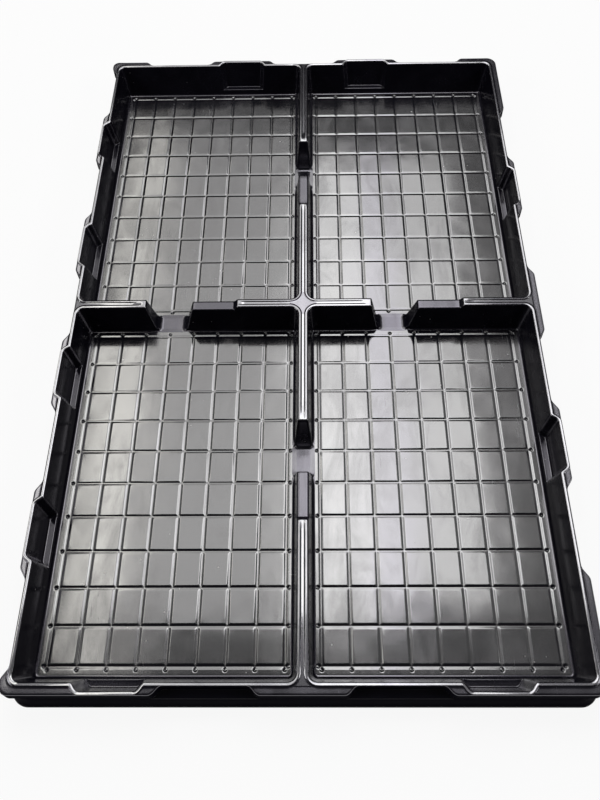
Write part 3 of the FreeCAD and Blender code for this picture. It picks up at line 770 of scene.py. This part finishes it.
def rim_and_skirt(flange_material, skirt_material):
    """The flange, its castellated edge, the upper skirt, the ledge, the lower skirt and its lip.

    Every row is a ring round the tray. Rows go from the bead's crest outwards and then down.
    """
    inner_radius = RIM_RADIUS["outer"] + BEAD
    runs = []
    for i, name in enumerate(SIDES):
        heading, pitch, breaks = SIDES[name]
        reach = OPENING[i % 2] + BEAD - inner_radius
        half = (POCKET_LENGTH + POCKET_END_RUN) / 2
        centres = [place * pitch for place in breaks]
        centres += [place * pitch + e * half for place in POCKETS[name] for e in (-1, 1)]
        centres += MOUTH_PLACES
        places = spread(-reach, reach, centres, RIM_REACH)
        runs.append(places if heading > 0 else -places[::-1])
    turn = np.linspace(0, 1, RIM_TURN)[1:-1]
    radii = [OPEN_CORNER, OPEN_CORNER, TIGHT_CORNER, TIGHT_CORNER]
    inner, bead_steep = rim_ring(rim_outs(OPENING), [RIM_RADIUS["outer"]] * 4, runs, turn,
                                 pocket=POCKET_DEPTH, offset=BEAD)
    edge, edge_steep = rim_ring(rim_outs(WIDE), radii, runs, turn, notched=True)
    skirt, _ = rim_ring(rim_outs(SKIRT), [SKIRT_CORNER] * 4, runs, turn)
    drawn, _ = rim_ring(rim_outs(SKIRT - SKIRT_DRAFT), [SKIRT_CORNER] * 4, runs, turn)
    lip, _ = rim_ring(rim_outs(FOOT), [SKIRT_CORNER + FOOT_LIP] * 4, runs, turn)

    across = edge - inner
    width = np.linalg.norm(across, axis=1)
    across = across / width[:, None]
    # Where the flange or the ledge is narrow, a bend takes only a share of its width.
    bead_run = np.minimum(BEAD_FALL * bead_steep, 0.3 * width)
    turn_in = np.minimum(FLANGE_EDGE * edge_steep, 0.6 * width)
    climb = FLANGE_CLIMB * np.abs(across[:, 0])
    in_mouth = np.minimum(np.abs(inner[:, 0]), np.abs(inner[:, 1])) < MOUTH_HALF

    rows = []

    def add(plan, z):
        rows.append(np.concatenate([plan, np.broadcast_to(z, len(plan))[:, None]], axis=1))

    def flange_height(distance_out, plan):
        """Bead height over the flange, where the mouths of the dividers have no bead of their own."""
        local = BEAD + distance_out / bead_steep
        distance = np.where(in_mouth, beyond_bays(plan[:, 0], plan[:, 1]), local)
        return bead_height(distance)

    for share in np.linspace(0, 1, 6):
        out = bead_run * share
        plan = inner + out[:, None] * across
        add(plan, flange_height(out, plan))
    for share in (0.25, 0.5, 0.75):
        out = bead_run + (width - turn_in - bead_run) * share
        plan = inner + out[:, None] * across
        add(plan, flange_height(out, plan) + climb * (out - bead_run))
    start = width - turn_in
    plan = inner + start[:, None] * across
    edge_top = flange_height(start, plan) + climb * (start - bead_run)
    for angle in np.linspace(0, math.pi / 2, 6):
        out = start + turn_in * math.sin(angle)
        add(inner + out[:, None] * across, edge_top - FLANGE_EDGE * (1 - math.cos(angle)))

    flange_rows = len(rows)
    down = drawn - edge
    ledge = np.linalg.norm(down, axis=1)
    down = down / np.maximum(ledge, 0.01)[:, None]
    fillet = np.minimum(LEDGE_FILLET, 0.4 * ledge)
    for share in (0.35, 0.7):
        add(edge, edge_top - FLANGE_EDGE + (LEDGE_Z + fillet - edge_top + FLANGE_EDGE) * share)
    for angle in np.linspace(0, math.pi / 2, 4):
        add(edge + (fillet * (1 - math.cos(angle)))[:, None] * down,
            LEDGE_Z + fillet * (1 - math.sin(angle)))
    for angle in np.linspace(0, math.pi / 2, 5):
        add(drawn - (fillet * (1 - math.sin(angle)))[:, None] * down,
            LEDGE_Z - fillet * (1 - math.cos(angle)))
    for share in (0.3, 0.65, 1.0):
        height = LEDGE_Z + (SHEET + LIP_FLARE - LEDGE_Z) * share
        add(drawn + (skirt - drawn) * share, np.full(len(skirt), height))
    add((skirt + lip) / 2 - (lip - skirt) * 0.2, np.full(len(skirt), SHEET + LIP_FLARE * 0.25))
    add(skirt + (lip - skirt) * 0.75, np.full(len(skirt), SHEET))
    add(lip, np.full(len(lip), SHEET - LIP_ROUND))
    add(lip, np.full(len(lip), 0.0))
    grid = np.array(rows)

    counts = [len(run) for run in runs]
    starts = np.cumsum([0] + [count + len(turn) for count in counts])
    nodes = {side: ["rim_tabs_" + side, "rim_strips_" + side] for side in SIDES}
    for corner in BAYS:
        nodes[corner.split("_")[1]].append("rim_corner_" + corner)
    station = np.arange(grid.shape[1])
    x, y = grid[0, :, 0], grid[0, :, 1]
    near_piece = station[(y < 0) & (np.abs(x) < FLANGE_CUT) & (station < counts[0])]
    far_piece = station[(y > 0) & (np.abs(x) < FLANGE_CUT) & (station >= starts[2])
                        & (station < starts[2] + counts[2])]
    spans = {
        "near": np.arange(near_piece[0], near_piece[-1] + 1),
        "right": np.arange(near_piece[-1], far_piece[0] + 1),
        "far": np.arange(far_piece[0], far_piece[-1] + 1),
        "left": np.concatenate([np.arange(far_piece[-1], grid.shape[1]),
                                np.arange(0, near_piece[0] + 1)]),
    }
    for side, span in spans.items():
        flange, below = grid[:flange_rows, span], grid[flange_rows - 1:, span]
        make_piece("flange_" + side, flange, flange_material, nodes[side])
        make_piece("outer_skirt_" + side, below, skirt_material, ["skirt_" + side])


# ---- finishes ----------------------------------------------------------------------------------
CLEAN_BLACK = (0.0042, 0.0038, 0.0070, 1)
HAZED_BLACK = (0.010, 0.0095, 0.0140, 1)
DUST = (0.35, 0.34, 0.32, 1)
WHITE = (1, 1, 1, 1)
PAPER_WHITE = (0.92, 0.92, 0.92, 1)
PLAIN_SHARE = 0.9         # how much of the white floor's look is plain white
STEEP, LEVEL = 0.25, 0.75   # upward part of a face's normal where its gloss begins and is full
CREST_GLOSS = (3.2, 1.6)  # depths under the tray's top where the crests' gloss begins and is full


class Socket:
    """A value or colour in a material, with the arithmetic signs that this file uses."""

    def __init__(self, tree, link):
        self.tree, self.link = tree, link

    def math(self, operation, *values):
        return self.tree.node("ShaderNodeMath", {"operation": operation}, dict(enumerate(values)))

    def __add__(self, other):
        return self.math("ADD", self, other)

    __radd__ = __add__

    def __mul__(self, other):
        return self.math("MULTIPLY", self, other)

    __rmul__ = __mul__

    def __sub__(self, other):
        return self.math("SUBTRACT", self, other)

    def __rsub__(self, other):
        return self.math("SUBTRACT", other, self)

    def clip(self):
        """The value held between 0 and 1."""
        return self.tree.node("ShaderNodeClamp", {}, {"Value": self})


class Finish:
    """The nodes of a material or of the world, made by one method."""

    def __init__(self, owner):
        owner.use_nodes = True
        self.owner, self.tree = owner, owner.node_tree

    def node(self, kind, settings, inputs, output=0):
        """Add a node, set its settings, then set or link its inputs; returns one output."""
        made = self.tree.nodes.new(kind)
        for key, value in settings.items():
            setattr(made, key, value)
        for key, value in inputs.items():
            self.feed(made.inputs[key], value)
        return Socket(self, made.outputs[output])

    def feed(self, socket, value):
        """Link a Socket into an input, or set the input to a plain value."""
        if isinstance(value, Socket):
            self.tree.links.new(value.link, socket)
        else:
            socket.default_value = value

    def place(self, scale=(1, 1, 1), turn=(0, 0, 0)):
        """Object coordinates, stretched and turned."""
        where = self.node("ShaderNodeTexCoord", {}, {}, "Object")
        return self.node("ShaderNodeMapping", {}, {"Vector": where, "Scale": scale,
                                                   "Rotation": turn})

    def noise(self, vector, scale, detail, roughness, distortion=0.0):
        """Cloud noise from 0 to 1."""
        return self.node("ShaderNodeTexNoise", {}, {"Vector": vector, "Scale": scale,
                                                    "Detail": detail, "Roughness": roughness,
                                                    "Distortion": distortion})

    def between(self, value, low, high):
        """Value from low..high carried to 0..1, smoothly and held at the ends."""
        return self.node("ShaderNodeMapRange", {"interpolation_type": "SMOOTHSTEP"},
                         {"Value": value, "From Min": low, "From Max": high})

    def mix(self, share, first, second):
        """Mix of two colours."""
        return self.node("ShaderNodeMix", {"data_type": "RGBA"},
                         {0: share, 6: first, 7: second}, output=2)

    def bump(self, height, strength, distance):
        """Normal bent by a height value."""
        return self.node("ShaderNodeBump", {}, {"Height": height, "Strength": strength,
                                                "Distance": distance})

    def set(self, node, **values):
        """Feed the inputs of a node that was there from the start; returns the owner."""
        for key, value in values.items():
            self.feed(self.tree.nodes[node].inputs[key.replace("_", " ")], value)
        return self.owner


def glossy_sheet(name, density, base_roughness, waviness, dust_amount, coat, crests=False,
                 tint=(0.93, 0.90, 1.0, 1)):
    """Glossy black formed plastic: wavy at hand scale, faintly grained, hazed by handling and
    speckled with a little dust and fine scratches.

    The coat is the gloss of the level faces; faces drawn down steeply have none. With crests set,
    only the top of the sheet has it. Roughness = base + haze + grain + dust + scratches.
    """
    finish = Finish(bpy.data.materials.new(name))
    where = finish.place()
    facing = finish.node("ShaderNodeNewGeometry", {}, {}, "Normal")
    facing_up = finish.node("ShaderNodeSeparateXYZ", {}, {0: facing}, "Z")
    gloss = finish.between(facing_up, STEEP, LEVEL)
    if crests:
        height = finish.node("ShaderNodeSeparateXYZ", {}, {0: where}, "Z")
        gloss = gloss * finish.between(height, (HEIGHT - CREST_GLOSS[0]) * MM,
                                       (HEIGHT - CREST_GLOSS[1]) * MM)
    haze = finish.noise(where, 9.0, detail=4.0, roughness=0.6, distortion=0.4)
    smear_way = finish.place(scale=(1.0, 0.35, 1.0), turn=(0, 0, 0.5))
    smear = finish.noise(smear_way, 38.0, detail=5.0, roughness=0.62, distortion=1.2)
    grain = finish.noise(where, 2600.0, detail=2.0, roughness=0.5)
    wave = finish.noise(where, 26.0, detail=2.0, roughness=0.4)
    handled = finish.between(haze * 0.5 + smear * 0.5, 0.43, 0.62)
    specks = finish.node("ShaderNodeTexVoronoi", {"feature": "F1"},
                         {"Vector": where, "Scale": 150.0, "Randomness": 1.0})
    dusty = finish.between(finish.noise(where, 31.0, detail=2.0, roughness=0.5), 0.56, 0.66)
    speck = finish.between(specks, 0.10, 0.05) * dusty * dust_amount
    scratch_way = finish.place(scale=(1.0, 0.06, 1.0), turn=(0, 0, 0.9))
    scratches = finish.noise(scratch_way, 900.0, detail=1.0, roughness=0.4)
    scratch = finish.between(scratches, 0.70, 0.76) * finish.between(haze, 0.5, 0.62)
    colour = finish.mix(handled * 0.5, CLEAN_BLACK, HAZED_BLACK)
    colour = finish.mix(speck, colour, DUST)
    rough = base_roughness + handled * 0.10 + grain * 0.03 + speck * 0.4 + scratch * 0.12
    bumped = wave * waviness + grain * 0.02
    return finish.set("Principled BSDF", Base_Color=colour, Roughness=rough, IOR=density,
                      Specular_Tint=tint, Coat_Weight=gloss * (1 - handled * 0.35),
                      Coat_Roughness=0.06, Coat_IOR=coat,
                      Normal=finish.bump(bumped, strength=0.35, distance=0.001))


def white_paper():
    """Matt white paper. The camera and the rays that gloss or glass sends on see most of it as
    plain white, so that it stays white where the light falls off, and the rest as paper, which
    keeps the shadow."""
    finish = Finish(bpy.data.materials.new("white_paper"))
    paper = finish.node("ShaderNodeBsdfDiffuse", {}, {"Color": PAPER_WHITE})
    plain = finish.node("ShaderNodeEmission", {}, {"Color": WHITE, "Strength": 1.0})
    seen, mirrored, through = (finish.node("ShaderNodeLightPath", {}, {}, kind) for kind in
                               ("Is Camera Ray", "Is Glossy Ray", "Is Transmission Ray"))
    share = (seen + mirrored + through).clip() * PLAIN_SHARE
    mixed = finish.node("ShaderNodeMixShader", {}, {0: share, 1: paper, 2: plain})
    return finish.set("Material Output", Surface=mixed)


# ---- studio, in metres -------------------------------------------------------------------------
GROUND_HALF = 6.0
GLOW_UP = (0.60, 0.80)              # upward part of a direction where the glow begins and is full
GLOW_AHEAD = (0.05, 0.35)           # and its part towards the tray's far end
GLOW = 0.6                          # strength of the room's glow
DIM = 0.02                          # and of the rest of the room
PANEL_HEIGHT = 1.5
PANEL_SEAMS = (0.72, 1.22)          # Y where the long panels' three lengths meet
PANEL_SHARES = (1.2, 1.0, 0.8)      # their radiances, from the nearest to the furthest
FILL_PLACE = (1.8, -0.4, 1.3)
FILL_SIZE = (1.1, 1.0)
FILL_RADIANCE = 5.0
NEUTRAL = (1.0, 1.0, 1.0)
COOL = (0.93, 0.91, 1.0)
WARM = (1.0, 0.985, 0.93)
# Each long panel: its limits in X, where it starts and ends in Y, radiance and tint.
LONG_PANELS = {
    "middle": (-0.060, 0.155, 0.13, 1.62, 4.6, NEUTRAL),
    "cool": (0.155, 0.250, 0.14, 1.62, 4.0, COOL),
    "right": (0.250, 0.455, 0.18, 1.62, 3.1, NEUTRAL),
    "left": (-0.470, -0.060, 0.125, 1.76, 1.4, NEUTRAL),
    "far_left": (-0.600, -0.470, 0.03, 1.76, 3.9, WARM),
}


def panel(name, centre, size, radiance, tint=NEUTRAL):
    """A soft panel that faces straight down. Its power is pi * area * radiance."""
    light = bpy.data.lights.new(name, "AREA")
    light.color = tint
    light.shape = "RECTANGLE"
    light.size, light.size_y = size
    light.energy = radiance * math.pi * size[0] * size[1]
    lamp = bpy.data.objects.new(name, light)
    bpy.context.scene.collection.objects.link(lamp)
    lamp.location = centre


def studio():
    """White floor, a dim room that is brighter overhead and ahead, and soft panels: long ones over
    the tray that dim towards their far ends, and a fill on each side."""
    mesh = bpy.data.meshes.new("studio_floor")
    corners = [(x * GROUND_HALF, y * GROUND_HALF, 0)
               for x, y in ((-1, -1), (1, -1), (1, 1), (-1, 1))]
    mesh.from_pydata(corners, [], [(0, 1, 2, 3)])
    ground = bpy.data.objects.new("studio_floor", mesh)
    bpy.context.scene.collection.objects.link(ground)
    mesh.materials.append(white_paper())

    world = bpy.data.worlds.new("studio_room")
    bpy.context.scene.world = world
    room = Finish(world)
    way = room.node("ShaderNodeTexCoord", {}, {}, "Generated")
    ahead, up = (room.node("ShaderNodeSeparateXYZ", {}, {0: way}, axis) for axis in "YZ")
    glow = room.between(up, *GLOW_UP) * room.between(ahead, *GLOW_AHEAD) * GLOW + DIM
    room.set("Background", Color=WHITE, Strength=glow)

    for place, (left, right, start, end, radiance, tint) in LONG_PANELS.items():
        seams = (start, *PANEL_SEAMS, end)
        for i, share in enumerate(PANEL_SHARES):
            low, high = seams[i:i + 2]
            panel("long_panel_%s_%d" % (place, i + 1),
                  ((left + right) / 2, (low + high) / 2, PANEL_HEIGHT),
                  (right - left, high - low), radiance * share, tint)
    for side, sign in (("right", 1), ("left", -1)):
        panel("fill_" + side, (sign * FILL_PLACE[0], *FILL_PLACE[1:]), FILL_SIZE,
              FILL_RADIANCE)


def camera():
    """Camera above the near edge, looking down and ahead along the tray."""
    lens = bpy.data.cameras.new("camera")
    lens.lens = 39.06
    lens.shift_y = -0.125
    viewer = bpy.data.objects.new("camera", lens)
    bpy.context.scene.collection.objects.link(viewer)
    viewer.location = (0.0101, -0.4025, 0.6245)
    viewer.rotation_euler = [math.radians(a) for a in (34.480, 1.093, 0.201)]
    bpy.context.scene.camera = viewer


# ---- the tray ----------------------------------------------------------------------------------
pad_finish = glossy_sheet("glossy_black_floor", density=1.9, base_roughness=0.11, waviness=1.0,
                          dust_amount=0.8, coat=1.5, tint=(1.0, 0.99, 0.985, 1))
wall_finish = glossy_sheet("glossy_black_wall", density=1.45, base_roughness=0.16, waviness=0.8,
                           dust_amount=0.5, coat=1.6, tint=(0.88, 0.82, 1.0, 1))
crest_finish = glossy_sheet("glossy_black_crest", density=1.8, base_roughness=0.14, waviness=0.6,
                            dust_amount=0.3, coat=2.35, crests=True)
rim_finish = glossy_sheet("glossy_black_rim", density=2.0, base_roughness=0.12, waviness=0.6,
                          dust_amount=0.3, coat=1.5)
skirt_finish = glossy_sheet("dull_black_skirt", density=1.01, base_roughness=0.42, waviness=0.6,
                            dust_amount=0.3, coat=1.6)
for bay in BAYS:
    floor(bay, pad_finish)
    bay_wall(bay, wall_finish, crest_finish)
for arm in ARMS:
    divider_arm(arm, crest_finish)
divider_hub(rim_finish)
rim_and_skirt(rim_finish, skirt_finish)

studio()
camera()
bpy.context.scene.view_settings.view_transform = "Standard"
